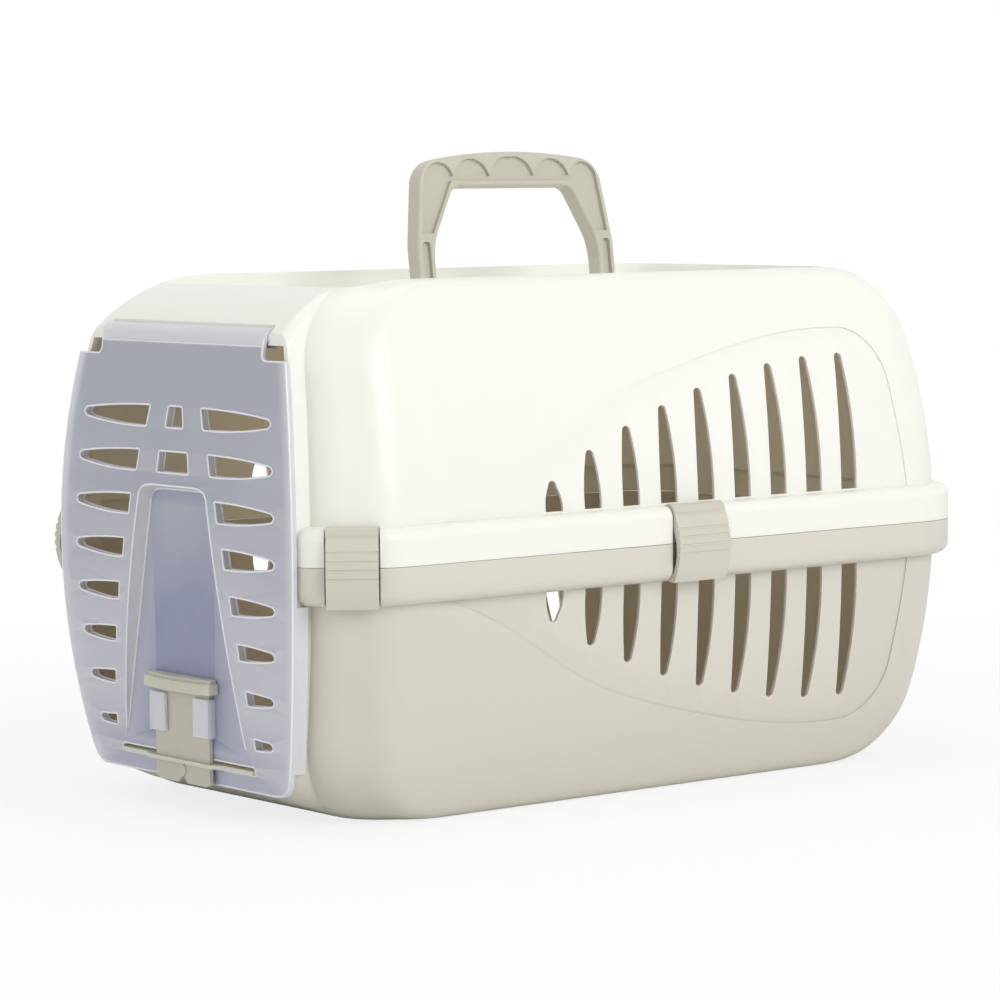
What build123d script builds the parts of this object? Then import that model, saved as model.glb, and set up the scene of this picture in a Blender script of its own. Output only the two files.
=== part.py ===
"""Pet carrier: two shells held by six clips, a lift-up front door with a sliding latch, and a
carrying handle that folds down into the roof.

Millimetres. +Z is up and the door faces -Y. The origin is on the floor under the middle of the
rim that runs round the carrier where the two shells meet.
"""
from build123d import *
from math import atan2, cos, degrees, hypot, pi, radians, sin, sqrt, tan
import os

os.makedirs("parts", exist_ok=True)

# Driving sizes of the two shells
overall_length = 480.0
belt_width = 304.0
roof_height = 296.0
seam_height = 145.5
wall = 2.6
belt_proud = 9.0
belt_half_height = 21.0
belt_round = 7.0
upper_bow_radius = 350.0
lower_bow_radius = 378.0
end_bow_radius = 1000.0
rear_corner_radius = 40.0
rear_roll_radius = 42.0
front_roll_radius = 44.0
edge_round = 7.0
bevel_x = 28.0
bevel_y = 36.0
bevel_round = 28.0
front_setback = 4.0
seam_gap = 0.3

# Driving sizes of the snout that frames the doorway
snout_top = 268.5
snout_shoulder_setback = 28.0
snout_shoulder_z = 281.5
snout_roof_setback = 62.0
snout_roof_end_z = 294.5
snout_keel_setback = 35.0
snout_keel_z = 9.0
snout_keel_end_setback = 54.0
snout_keel_end_z = 3.0
snout_edge_round = 7.0
snout_keel_round = 15.0
frame_width = 3.2
doorway_top = 262.0

# Driving sizes of the door
door_half_width = 114.5
door_side_radius = 425.0
door_mid_height = 148.0
door_bottom = 18.0
door_shoulder = 254.0
door_face_radius = 833.0
door_thickness = 2.4
door_corner_radius = 12.0
door_gap = 1.0
rim_thickness = 1.8
rim_depth = 10.0
rim_depth_at_belt = 3.0
rim_clearance = 0.6
keyhole_top = 180.0
keyhole_bottom = 36.0
keyhole_top_half = 30.0
keyhole_bottom_half = 60.0
keyhole_corner = 11.0
keyhole_draft = 20.0

# Driving sizes of the door hinge
hinge_height = 265.5
hinge_bar_radius = 3.2
hinge_half_length = 79.0
knuckle_radius = 6.0
knuckle_clearance = 0.4
knuckle_lip_reach = 2.4
knuckle_wrap = 245.0
tongue_root_round = 3.0

# Driving sizes of the air slots in the door
row_count = 8
row_pitch = 25.0
row_top = 220.5
row_inner = 26.2
row_inner_step = 8.9
row_inner_ease = 0.42
row_height = 12.2
row_height_ease = 0.11
row_lean = 3.2
row_edge_land = 16.5
row_nose = 2.6
row_corner = 1.4
window_rows = 2
window_half = 9.0
window_half_step = 7.0
collar_thickness = 1.1
collar_depth = 5.0

# Driving sizes of the air slots in the sides
slot_count = 9
slot_pitch = 27.85
slot_width = 12.3
slot_first_edge = -88.6
slot_foot = 22.0
slot_short = 39.0
slot_long = 101.0
slot_swell = 0.85
slot_lean = 5.6
slot_lean_step = 0.55
slot_nose = 3.0
slot_bulge = 1.1

# Driving sizes of the shallow leaf-shaped panels round the side slots
leaf_depth = 0.9
leaf_front = -160.0
leaf_rise = ((-112.0, 42.0), (-60.0, 72.0), (20.0, 98.5), (110.0, 115.0), (150.0, 116.0))
leaf_shoulder = (171.0, 105.0)
leaf_hip = (180.5, 82.0)
leaf_rear = 187.0

# Driving sizes of the roof tray and the handle
tray_half_width = 91.0
tray_front_setback = 54.0
tray_rear_setback = 74.0
tray_depth = 22.0
tray_draft = 14.0
tray_corner = 16.0
handle_middle = 5.5
handle_half_length = 73.5
handle_shoulder_half = 66.5
handle_height = 84.0
handle_crown = 6.0
handle_knee = 30.0
handle_knee_round = 40.0
handle_foot = -5.0
handle_grip_depth = 20.5
handle_leg_width = 11.8
handle_gap_top_half = 44.0
handle_thickness = 12.0
handle_corner = 17.0
handle_edge = 1.6
handle_relief = 2.4
handle_rim = 3.2
handle_rib_gap = 3.0
handle_ribs = (16.5, 43.5)
handle_lobe = 30.0
handle_end_lobe = 54.0
handle_lean = 7.5
pivot_above_tray = 8.0
pivot_radius = 3.5
pivot_reach = 6.0
ear_thickness = 4.0
ear_half_width = 8.0
ear_gap = 0.6
running_clearance = 0.1

# Driving sizes of the clips
side_clip_width = 38.0
corner_clip_width = 28.0
side_clip_place = 14.0
rear_clip_place = 90.0
clip_barrel_radius = 5.0
clip_pin_radius = 1.8
clip_pin_reach = 2.0
clip_pin_inset = 4.5
clip_pin_above_seam = 17.0
clip_side_gap = 0.8
clip_swing_gap = 0.5
clip_strap = 3.2
clip_bulge = 5.5
clip_face_radius = 39.0
clip_face_middle = -2.0
clip_bottom = -22.0
clip_recess = 5.6
clip_groove_count = 4
clip_groove_pitch = 4.8
clip_groove_radius = 1.0
hook_height = 3.0
hook_top = 17.0
hook_reach = 7.2
hook_gap = 1.0

# Driving sizes of the latch and the sill tongue that it locks on
latch_half_width = 26.5
latch_thickness = 2.2
latch_bottom = 17.0
latch_top = 69.0
latch_bar_half_width = 32.5
latch_bar_height = 6.0
latch_bar_reach = 7.5
latch_gap = 0.4
latch_notch_half = 4.5
latch_notch_height = 4.5
latch_lip_height = 2.0
latch_lip_setback = 1.8
latch_stud_radius = 3.4
latch_stud_proud = 0.7
latch_stud_level = 24.0
guide_low = 44.5
guide_high = 66.0
guide_cover = 12.5
guide_wall = 2.0
sill_top = 30.3
sill_thickness = 2.1
sill_half_width = 65.0
sill_front_strip = 1.6
sill_end_proud = 1.8
sill_nose_land = 4.0
sill_nose_run = 8.0
sill_slot_gap = 0.7
sill_slot_headroom = 2.9

# Sizes worked out from the driving ones
belt_half = belt_width / 2
wall_half = belt_half - belt_proud
rear_belt = overall_length / 2
rear_wall = rear_belt - belt_proud
door_front = -overall_length / 2
belt_front = door_front + front_setback
front_wall = belt_front + belt_proud
bevel_length = hypot(bevel_x, bevel_y)
bevel_turn = atan2(bevel_y, bevel_x)
bevel_shrink = (tan(bevel_turn / 2) + tan((pi / 2 - bevel_turn) / 2)) / bevel_length
snout_inset = rim_thickness + rim_clearance
snout_shoulder_y = door_front + snout_shoulder_setback
snout_roof_end_y = door_front + snout_roof_setback
snout_keel_y = door_front + snout_keel_setback
snout_keel_end_y = door_front + snout_keel_end_setback
tray_front = door_front + tray_front_setback
tray_rear = rear_belt - tray_rear_setback
snout_bottom = door_bottom + snout_inset
tray_floor = roof_height - tray_depth
pivot_height = tray_floor + pivot_above_tray
reach = overall_length


def bow(radius, distance):
    """How far an arc of this radius has fallen back at this distance from its middle."""
    return radius - sqrt(radius**2 - distance**2)


def roll(radius, distance):
    """How far a quarter-round edge has turned in at this distance below its own top."""
    return bow(radius, radius - distance) if distance < radius else 0.0


def face_y(level):
    """Where the door's bowed front face stands at a height."""
    return door_front + bow(door_face_radius, level - door_mid_height)


def door_edge(level, inset):
    """Half width of the door's barrel-sided outline at a height."""
    return door_half_width - bow(door_side_radius, level - door_mid_height) - inset


hinge_y = face_y(hinge_height) + knuckle_radius
keyhole_floor = face_y(keyhole_bottom)


def plan_sketch(level, half, rear, front, inset):
    """The carrier's plan at one height, with round rear corners and bevelled front corners."""
    share = 1 - inset * bevel_shrink
    outline = [
        (half - bevel_x * share, front),
        (half, front + bevel_y * share),
        (half, rear),
        (-half, rear),
        (-half, front + bevel_y * share),
        (-half + bevel_x * share, front),
    ]
    with BuildSketch(Plane.XY.offset(level)) as plan:
        with BuildLine():
            Polyline(*outline, close=True)
        make_face()
        fillet(plan.vertices().group_by(Axis.Y)[-1], rear_corner_radius + belt_proud - inset)
        bevel_corners = plan.vertices().group_by(Axis.Y)[:2]
        fillet(bevel_corners[0] + bevel_corners[1], bevel_round)
    return plan.sketch


def body_sections(tall, direction, inset):
    """Plans of one shell's bowed body, from the seam to its flat roof or floor."""
    side_bow_radius = upper_bow_radius if direction > 0 else lower_bow_radius
    straight = tall - front_roll_radius
    levels = [straight * step / 6 for step in range(7)]
    levels += [straight + front_roll_radius * sin(radians(turn)) for turn in (22.5, 45, 63, 77, 90)]
    sections = []
    for distance in levels:
        end_fall = bow(end_bow_radius, distance) + inset
        half = wall_half - bow(side_bow_radius, distance) - roll(edge_round, tall - distance) - inset
        rear = rear_wall - end_fall - roll(rear_roll_radius, tall - distance)
        front = front_wall + end_fall + roll(front_roll_radius, tall - distance)
        level = seam_height + direction * distance * (tall - inset) / tall
        sections.append(plan_sketch(level, half, rear, front, belt_proud + inset))
    return sections


def body_block(tall, direction, inset):
    """One shell's bowed body as a solid block, drawn in by an inset."""
    sections = body_sections(tall, direction, inset)
    with BuildPart() as block:
        loft(sections=sections)
    return block.part


def belt_block(direction, inset):
    """Half of the rounded rim that runs round the carrier at the seam."""
    plan = plan_sketch(seam_height, belt_half - inset, rear_belt - inset, belt_front + inset, inset)
    with BuildPart() as block:
        extrude(plan, amount=direction * (belt_half_height - inset))
        far_faces = block.faces().filter_by(Plane.XY).sort_by(Axis.Z)
        far_face = far_faces[-1] if direction > 0 else far_faces[0]
        fillet(far_face.edges(), belt_round - inset)
    return block.part


def outline_sketch(inset, low, high, corner):
    """The door's barrel-sided outline on the plane Y = 0, with round lower corners."""
    middle = (low + high) / 2
    low_half = door_edge(low, inset)
    high_half = door_edge(high, inset)
    middle_half = door_edge(middle, inset)
    with BuildSketch(Plane.XZ) as outline:
        with BuildLine():
            ThreePointArc((low_half, low), (middle_half, middle), (high_half, high))
            Line((high_half, high), (-high_half, high))
            ThreePointArc((-high_half, high), (-middle_half, middle), (-low_half, low))
            Line((-low_half, low), (low_half, low))
        make_face()
        fillet(outline.vertices().group_by(Axis.Y)[0], corner)
    return outline.sketch


def face_band(front_offset, back_offset, low, high):
    """A slab that follows the door's bowed face, between two depths behind it."""
    middle = (low + high) / 2
    with BuildSketch(Plane.YZ) as profile:
        with BuildLine():
            ThreePointArc((face_y(low) + front_offset, low), (face_y(middle) + front_offset, middle),
                          (face_y(high) + front_offset, high))
            Line((face_y(high) + front_offset, high), (face_y(high) + back_offset, high))
            ThreePointArc((face_y(high) + back_offset, high), (face_y(middle) + back_offset, middle),
                          (face_y(low) + back_offset, low))
            Line((face_y(low) + back_offset, low), (face_y(low) + front_offset, low))
        make_face()
    with BuildPart() as band:
        extrude(profile.sketch, amount=belt_half, both=True)
    return band.part


def snout_block(inset):
    """The short snout in front of the body, whose face frames the doorway."""
    setback = door_thickness + door_gap + inset
    low = snout_bottom + inset
    high = snout_top - inset
    with BuildSketch(Plane.YZ) as profile:
        with BuildLine():
            ThreePointArc((face_y(low) + setback, low), (face_y(door_mid_height) + setback, door_mid_height),
                          (face_y(high) + setback, high))
            ThreePointArc((face_y(high) + setback, high), (snout_shoulder_y, snout_shoulder_z - inset),
                          (snout_roof_end_y, snout_roof_end_z - inset))
            Line((snout_roof_end_y, snout_roof_end_z - inset), (snout_keel_end_y, snout_keel_end_z + inset))
            ThreePointArc((snout_keel_end_y, snout_keel_end_z + inset), (snout_keel_y, snout_keel_z + inset),
                          (face_y(low) + setback, low))
        make_face()
    outline = outline_sketch(snout_inset + inset, 0.0, roof_height, edge_round)
    with BuildPart() as block:
        extrude(profile.sketch, amount=belt_half, both=True)
        extrude(outline, amount=reach, both=True, mode=Mode.INTERSECT)
        roof_edges = block.edges().filter_by(
            lambda edge: edge.center().Z > snout_top and abs(edge.center().X) > hinge_half_length)
        long_edges = roof_edges.filter_by(lambda edge: edge.center().Y < snout_roof_end_y - 1)
        fillet(long_edges, snout_edge_round - inset)
        keel_edges = block.edges().filter_by(
            lambda edge: edge.center().Z < snout_bottom + inset and abs(edge.center().X) > hinge_half_length)
        fillet(keel_edges.filter_by(lambda edge: edge.center().Y < snout_keel_end_y - 1), snout_keel_round - inset)
    return block.part


def clip_plane(point, angle):
    """Plane of a clip's side view: its x axis points outward from the belt and its y axis up."""
    outward = (cos(radians(angle)), sin(radians(angle)), 0)
    along = (sin(radians(angle)), -cos(radians(angle)), 0)
    return Plane(origin=(point[0], point[1], seam_height), x_dir=outward, z_dir=along)


bevel_angle = degrees(pi / 2 - bevel_turn)
bevel_middle = (belt_half - bevel_x / 2, belt_front + bevel_y / 2)
clips = {
    "clip_front_right": (clip_plane(bevel_middle, -bevel_angle), corner_clip_width),
    "clip_front_left": (clip_plane((-bevel_middle[0], bevel_middle[1]), 180 + bevel_angle), corner_clip_width),
    "clip_side_right": (clip_plane((belt_half, side_clip_place), 0), side_clip_width),
    "clip_side_left": (clip_plane((-belt_half, side_clip_place), 180), side_clip_width),
    "clip_rear_right": (clip_plane((rear_clip_place, rear_belt), 90), side_clip_width),
    "clip_rear_left": (clip_plane((-rear_clip_place, rear_belt), 90), side_clip_width),
}


def clip_seats():
    """Solid seats inside the hollow belt, one behind each clip."""
    with BuildPart() as seats:
        for plane, width in clips.values():
            with BuildSketch(plane) as section:
                with Locations((-(belt_proud + wall) / 2, 0)):
                    Rectangle(belt_proud + wall, 2 * belt_half_height)
            extrude(amount=width / 2 + clip_side_gap + clip_pin_reach + wall, both=True)
    return seats.part


def clip_recesses():
    """The room for the clips: recess, barrel pocket, pin sockets and hook pocket."""
    with BuildPart() as recesses:
        for plane, width in clips.values():
            half = width / 2 + clip_side_gap
            with BuildSketch(plane):
                Rectangle(2 * clip_recess, 3 * belt_half_height)
                with Locations((-clip_pin_inset, clip_pin_above_seam)):
                    Circle(clip_barrel_radius + clip_swing_gap)
                    Rectangle(2 * (clip_barrel_radius + clip_swing_gap), 2 * (belt_half_height - clip_pin_above_seam))
                with Locations((0, hook_gap - hook_top)):
                    Rectangle(2 * (hook_reach + hook_gap), belt_half_height, align=(Align.CENTER, Align.MAX))
            extrude(amount=half, both=True)
            with BuildSketch(plane):
                with Locations((-clip_pin_inset, clip_pin_above_seam)):
                    Circle(clip_pin_radius + running_clearance)
            extrude(amount=half + clip_pin_reach + clip_swing_gap, both=True)
    return recesses.part


def side_slots(direction):
    """Blunt-nosed air slots through both sides of one shell, longer and leaning towards the rear."""
    with BuildPart() as slots:
        with BuildSketch(Plane.YZ):
            for index in range(slot_count):
                swell = sin(pi / 2 * index / (slot_count - 1)) ** slot_swell
                tall = slot_short + (slot_long - slot_short) * swell - slot_foot
                left = slot_first_edge + index * slot_pitch
                right = left + slot_width
                nose = left + slot_lean + slot_lean_step * index
                nose_left, nose_right = nose - slot_nose, nose + slot_nose
                foot = seam_height + direction * slot_foot
                tip = foot + direction * tall
                shoulder = tip - direction * slot_nose
                half_way = (foot + shoulder) / 2
                with BuildLine():
                    Line((left, foot), (right, foot))
                    ThreePointArc((right, foot), ((right + nose_right) / 2 + slot_bulge, half_way),
                                  (nose_right, shoulder))
                    ThreePointArc((nose_right, shoulder), (nose, tip), (nose_left, shoulder))
                    ThreePointArc((nose_left, shoulder), ((left + nose_left) / 2 - slot_bulge, half_way), (left, foot))
                make_face()
        extrude(amount=belt_width, both=True)
    return slots.part


def leaf_cut(tall, direction):
    """What the shallow leaf-shaped panels round the side slots take off one shell's walls."""
    def at(place):
        return (place[0], seam_height + direction * place[1])

    foot = at((leaf_front, belt_half_height))
    heel = at((leaf_rear, belt_half_height))
    rise = [at(place) for place in leaf_rise]
    with BuildPart() as cut:
        with BuildSketch(Plane.YZ):
            with BuildLine():
                Spline(foot, *rise)
                ThreePointArc(rise[-1], at(leaf_shoulder), at(leaf_hip))
                Line(at(leaf_hip), heel)
                Line(heel, foot)
            make_face()
        extrude(amount=belt_half, both=True)
        add(body_block(tall, direction, leaf_depth), mode=Mode.SUBTRACT)
    return cut.part


def doorway():
    """The way in through the snout's face."""
    outline = outline_sketch(snout_inset + frame_width, sill_top - sill_thickness, doorway_top, door_corner_radius)
    with BuildPart() as opening:
        extrude(outline, amount=reach, both=True)
        split(bisect_by=Plane.XZ.offset(-front_wall - 2 * wall), keep=Keep.TOP)
    return opening.part


def tray_block(outset):
    """The tray in the roof that the handle folds into, grown by an outset."""
    floor = tray_floor - outset
    with BuildPart() as tray:
        with BuildSketch(Plane.XY.offset(floor)):
            with Locations((0, (tray_front + tray_rear) / 2)):
                RectangleRounded(2 * (tray_half_width + outset), tray_rear - tray_front + 2 * outset,
                                 tray_corner + outset)
        extrude(amount=2 * tray_depth, taper=-tray_draft)
    return tray.part


def handle_ears():
    """Two bearing ears on the tray's floor that hold the handle's pivot pins."""
    with BuildPart() as ears:
        for side in (-1, 1):
            ear_middle = handle_middle + side * (handle_half_length + ear_gap + ear_thickness / 2)
            with BuildSketch(Plane.XZ.offset(-ear_middle)):
                with Locations((0, pivot_height)):
                    Circle(ear_half_width)
                with Locations((0, pivot_height - (pivot_above_tray + wall / 2) / 2)):
                    Rectangle(2 * ear_half_width, pivot_above_tray + wall / 2)
                with Locations((0, pivot_height)):
                    Circle(pivot_radius + running_clearance, mode=Mode.SUBTRACT)
            extrude(amount=ear_thickness / 2, both=True)
    return ears.part


snout = snout_block(0.0)
snout_hollow = snout_block(wall)
seats = clip_seats()
recesses = clip_recesses()
opening = doorway()

# Upper shell
upper_tall = roof_height - seam_height
upper_body = body_block(upper_tall, 1, 0.0)
upper_hollow = body_block(upper_tall, 1, wall)
upper_belt = belt_block(1, 0.0)
upper_belt_hollow = belt_block(1, wall)
tray = tray_block(0.0)
tray_skin = tray_block(wall)
upper_slots = side_slots(1)
upper_leaf = leaf_cut(upper_tall, 1)
ears = handle_ears()
knuckle_room = knuckle_radius + knuckle_clearance

with BuildPart() as upper_cavity:
    add(upper_hollow)
    add(snout_hollow)
    add(upper_belt_hollow)
    add(tray_skin, mode=Mode.SUBTRACT)
    add(seats, mode=Mode.SUBTRACT)

with BuildPart() as upper_shell:
    add(upper_body)
    add(snout)
    add(upper_belt)
    add(tray, mode=Mode.SUBTRACT)
    add(upper_cavity.part, mode=Mode.SUBTRACT)
    add(opening, mode=Mode.SUBTRACT)
    add(upper_leaf, mode=Mode.SUBTRACT)
    add(upper_slots, mode=Mode.SUBTRACT)
    add(recesses, mode=Mode.SUBTRACT)
    with BuildSketch(Plane.YZ):
        with Locations((hinge_y, hinge_height)):
            Circle(knuckle_room)
        with Locations((hinge_y + knuckle_lip_reach, hinge_height)):
            Rectangle(4 * knuckle_room, 2 * knuckle_room, align=(Align.MAX, Align.MIN))
    extrude(amount=hinge_half_length + knuckle_clearance, both=True, mode=Mode.SUBTRACT)
    with BuildSketch(Plane.YZ):
        with Locations((hinge_y, hinge_height)):
            Circle(hinge_bar_radius)
    extrude(amount=hinge_half_length + wall, both=True)
    add(ears)
    split(bisect_by=Plane.XY.offset(seam_height + seam_gap / 2), keep=Keep.TOP)
upper_shell.part.label = "upper_shell"
export_step(upper_shell.part, "parts/upper_shell.step")

# Lower shell
lower_body = body_block(seam_height, -1, 0.0)
lower_hollow = body_block(seam_height, -1, wall)
lower_belt = belt_block(-1, 0.0)
lower_belt_hollow = belt_block(-1, wall)
lower_slots = side_slots(-1)
lower_leaf = leaf_cut(seam_height, -1)
latch_back = keyhole_floor - latch_gap
latch_front = latch_back - latch_thickness
sill_hole_front = latch_front - latch_stud_proud - latch_gap
sill_front = sill_hole_front - sill_front_strip
sill_back = face_y(sill_top) + door_thickness + door_gap + wall
sill_end_front = face_y(sill_top) - sill_end_proud
sill_nose_half = latch_half_width + latch_gap + sill_nose_land

with BuildPart() as lower_cavity:
    add(lower_hollow)
    add(snout_hollow)
    add(lower_belt_hollow)
    add(seats, mode=Mode.SUBTRACT)

with BuildPart() as lower_shell:
    add(lower_body)
    add(snout)
    add(lower_belt)
    add(lower_cavity.part, mode=Mode.SUBTRACT)
    add(opening, mode=Mode.SUBTRACT)
    add(lower_leaf, mode=Mode.SUBTRACT)
    add(lower_slots, mode=Mode.SUBTRACT)
    add(recesses, mode=Mode.SUBTRACT)
    split(bisect_by=Plane.XY.offset(seam_height - seam_gap / 2), keep=Keep.BOTTOM)
    with BuildSketch(Plane.XY.offset(sill_top)):
        with BuildLine():
            Polyline((-sill_half_width, sill_back), (sill_half_width, sill_back), (sill_half_width, sill_end_front),
                     (sill_nose_half + sill_nose_run, sill_end_front), (sill_nose_half, sill_front),
                     (-sill_nose_half, sill_front), (-sill_nose_half - sill_nose_run, sill_end_front),
                     (-sill_half_width, sill_end_front), close=True)
        make_face()
        with Locations((0, latch_back + latch_gap)):
            Rectangle(2 * (latch_half_width + latch_gap), latch_back + latch_gap - sill_hole_front,
                      align=(Align.CENTER, Align.MAX), mode=Mode.SUBTRACT)
    extrude(amount=-sill_thickness)
lower_shell.part.label = "lower_shell"
export_step(lower_shell.part, "parts/lower_shell.step")


def door_slots(grow):
    """The door's rows of blunt-nosed slots and its two middle windows, grown by a margin."""
    with BuildSketch(Plane.XZ) as slots:
        for row in range(row_count):
            level = row_top - row * row_pitch
            inner = row_inner + row_inner_step * row - row_inner_ease * row**2
            half_height = (row_height - row_height_ease * row**2) / 2
            lean = (row_lean - 0.4 * row) / 2
            tip = door_edge(level, row_edge_land)
            nose = tip - row_nose
            bulge = inner + (nose - inner) * 0.5
            for side in (-1, 1):
                with BuildLine():
                    Line((side * (inner + lean), level - half_height), (side * (inner - lean), level + half_height))
                    ThreePointArc((side * (inner - lean), level + half_height),
                                  (side * bulge, level + half_height * 0.84), (side * nose, level + row_nose))
                    ThreePointArc((side * nose, level + row_nose), (side * tip, level),
                                  (side * nose, level - row_nose))
                    ThreePointArc((side * nose, level - row_nose), (side * bulge, level - half_height * 0.92),
                                  (side * (inner + lean), level - half_height))
                make_face()
                inner_corners = slots.vertices(Select.LAST).sort_by(lambda corner: abs(corner.X))[:2]
                fillet(inner_corners, row_corner)
        for row in range(window_rows):
            level = row_top - row * row_pitch
            half = window_half + window_half_step * row
            half_height = row_height / 2
            with BuildLine():
                Polyline((half, level - half_height), (half - 2, level + half_height),
                         (-half + 2, level + half_height), (-half, level - half_height), close=True)
            make_face()
            fillet(slots.vertices(Select.LAST), row_corner)
        if grow > 0:
            offset(amount=grow)
    return slots.sketch


def keyhole_sketch(margin):
    """The tall trapezoid panel that is let into the door behind the latch."""
    with BuildSketch(Plane.XZ.offset(-keyhole_floor)) as panel:
        with BuildLine():
            Polyline((keyhole_top_half, keyhole_top), (keyhole_bottom_half, keyhole_bottom),
                     (-keyhole_bottom_half, keyhole_bottom), (-keyhole_top_half, keyhole_top), close=True)
        make_face()
        fillet(panel.vertices().group_by(Axis.Y)[-1], keyhole_corner)
        if margin > 0:
            offset(amount=margin)
    return panel.sketch


# Door
whole_outline = outline_sketch(0.0, door_bottom, door_shoulder, door_corner_radius)
inner_outline = outline_sketch(rim_thickness, door_bottom + rim_thickness, door_shoulder + rim_depth,
                               door_corner_radius - rim_thickness)
band_low = door_bottom - rim_thickness
band_high = door_shoulder + 2 * rim_depth
belt_foot = seam_height - belt_half_height - rim_clearance
rim_foot = door_bottom + door_corner_radius + rim_thickness
deep_band = face_band(0.0, rim_depth, rim_foot, belt_foot)
shallow_band = face_band(0.0, rim_depth_at_belt, band_low, band_high)
behind_skin = face_band(door_thickness, 2 * rim_depth, band_low, band_high)
skin_band = face_band(0.0, door_thickness, band_low, band_high)
collar_band = face_band(door_thickness / 2, collar_depth, band_low, band_high)
slot_holes = door_slots(0.0)
slot_collars = door_slots(collar_thickness)
keyhole = keyhole_sketch(0.0)
keyhole_skin = keyhole_sketch(door_thickness)

with BuildPart() as rim_room:
    extrude(inner_outline, amount=reach, both=True)
    add(behind_skin, mode=Mode.INTERSECT)

with BuildPart() as collars:
    extrude(slot_collars, amount=reach, both=True)
    add(collar_band, mode=Mode.INTERSECT)

with BuildPart() as keyhole_tub:
    extrude(keyhole_skin, amount=-door_thickness)
    extrude(keyhole_skin, amount=rim_depth, taper=-keyhole_draft)
    add(face_band(0.0, 2 * rim_depth, keyhole_bottom, band_high), mode=Mode.INTERSECT)

with BuildPart() as tongue:
    with BuildSketch(Plane.XZ):
        with Locations((0, door_shoulder - tongue_root_round)):
            Rectangle(2 * hinge_half_length, hinge_height - door_shoulder + tongue_root_round,
                      align=(Align.CENTER, Align.MIN))
        with Locations((0, door_shoulder - tongue_root_round)):
            Rectangle(2 * (hinge_half_length + tongue_root_round), 2 * tongue_root_round,
                      align=(Align.CENTER, Align.MIN))
        for side in (-1, 1):
            with Locations((side * (hinge_half_length + tongue_root_round), door_shoulder + tongue_root_round)):
                Circle(tongue_root_round, mode=Mode.SUBTRACT)
    extrude(amount=reach, both=True)
    add(skin_band, mode=Mode.INTERSECT)

with BuildPart() as door:
    extrude(whole_outline, amount=reach, both=True)
    add(deep_band + shallow_band, mode=Mode.INTERSECT)
    add(rim_room.part, mode=Mode.SUBTRACT)
    add(collars.part)
    add(keyhole_tub.part)
    extrude(keyhole, amount=2 * rim_depth, taper=-keyhole_draft, mode=Mode.SUBTRACT)
    extrude(slot_holes, amount=reach, both=True, mode=Mode.SUBTRACT)
    with BuildSketch(Plane.XZ):
        with Locations((0, sill_top - sill_thickness - sill_slot_gap + (sill_thickness + sill_slot_headroom) / 2)):
            RectangleRounded(2 * (sill_half_width + sill_slot_gap), sill_thickness + sill_slot_headroom, 1.5)
    extrude(amount=reach, both=True, mode=Mode.SUBTRACT)
    add(tongue.part)
    with BuildSketch(Plane.YZ) as knuckle:
        with BuildLine():
            CenterArc((hinge_y, hinge_height), knuckle_radius, 180, -knuckle_wrap)
            outer_end = (hinge_y + knuckle_radius * cos(radians(180 - knuckle_wrap)),
                         hinge_height + knuckle_radius * sin(radians(180 - knuckle_wrap)))
            inner_radius = hinge_bar_radius + knuckle_clearance
            inner_end = (hinge_y + inner_radius * cos(radians(180 - knuckle_wrap)),
                         hinge_height + inner_radius * sin(radians(180 - knuckle_wrap)))
            Line(outer_end, inner_end)
            CenterArc((hinge_y, hinge_height), inner_radius, 180 - knuckle_wrap, knuckle_wrap)
            Line((hinge_y - inner_radius, hinge_height), (hinge_y - knuckle_radius, hinge_height))
        make_face()
    extrude(amount=hinge_half_length, both=True)
    for side in (-1, 1):
        guide_outer = latch_half_width + latch_gap + guide_wall
        guide_inner = latch_half_width - guide_cover
        guide_front = latch_front - latch_gap - guide_wall
        with BuildSketch(Plane.XY.offset(guide_low)):
            with BuildLine():
                Polyline((side * guide_outer, keyhole_floor + door_thickness / 2), (side * guide_outer, guide_front),
                         (side * guide_inner, guide_front), (side * guide_inner, guide_front + guide_wall),
                         (side * (guide_outer - guide_wall), guide_front + guide_wall),
                         (side * (guide_outer - guide_wall), keyhole_floor + door_thickness / 2), close=True)
            make_face()
        extrude(amount=guide_high - guide_low)
door.part.label = "door"
export_step(door.part, "parts/door.step")

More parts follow.
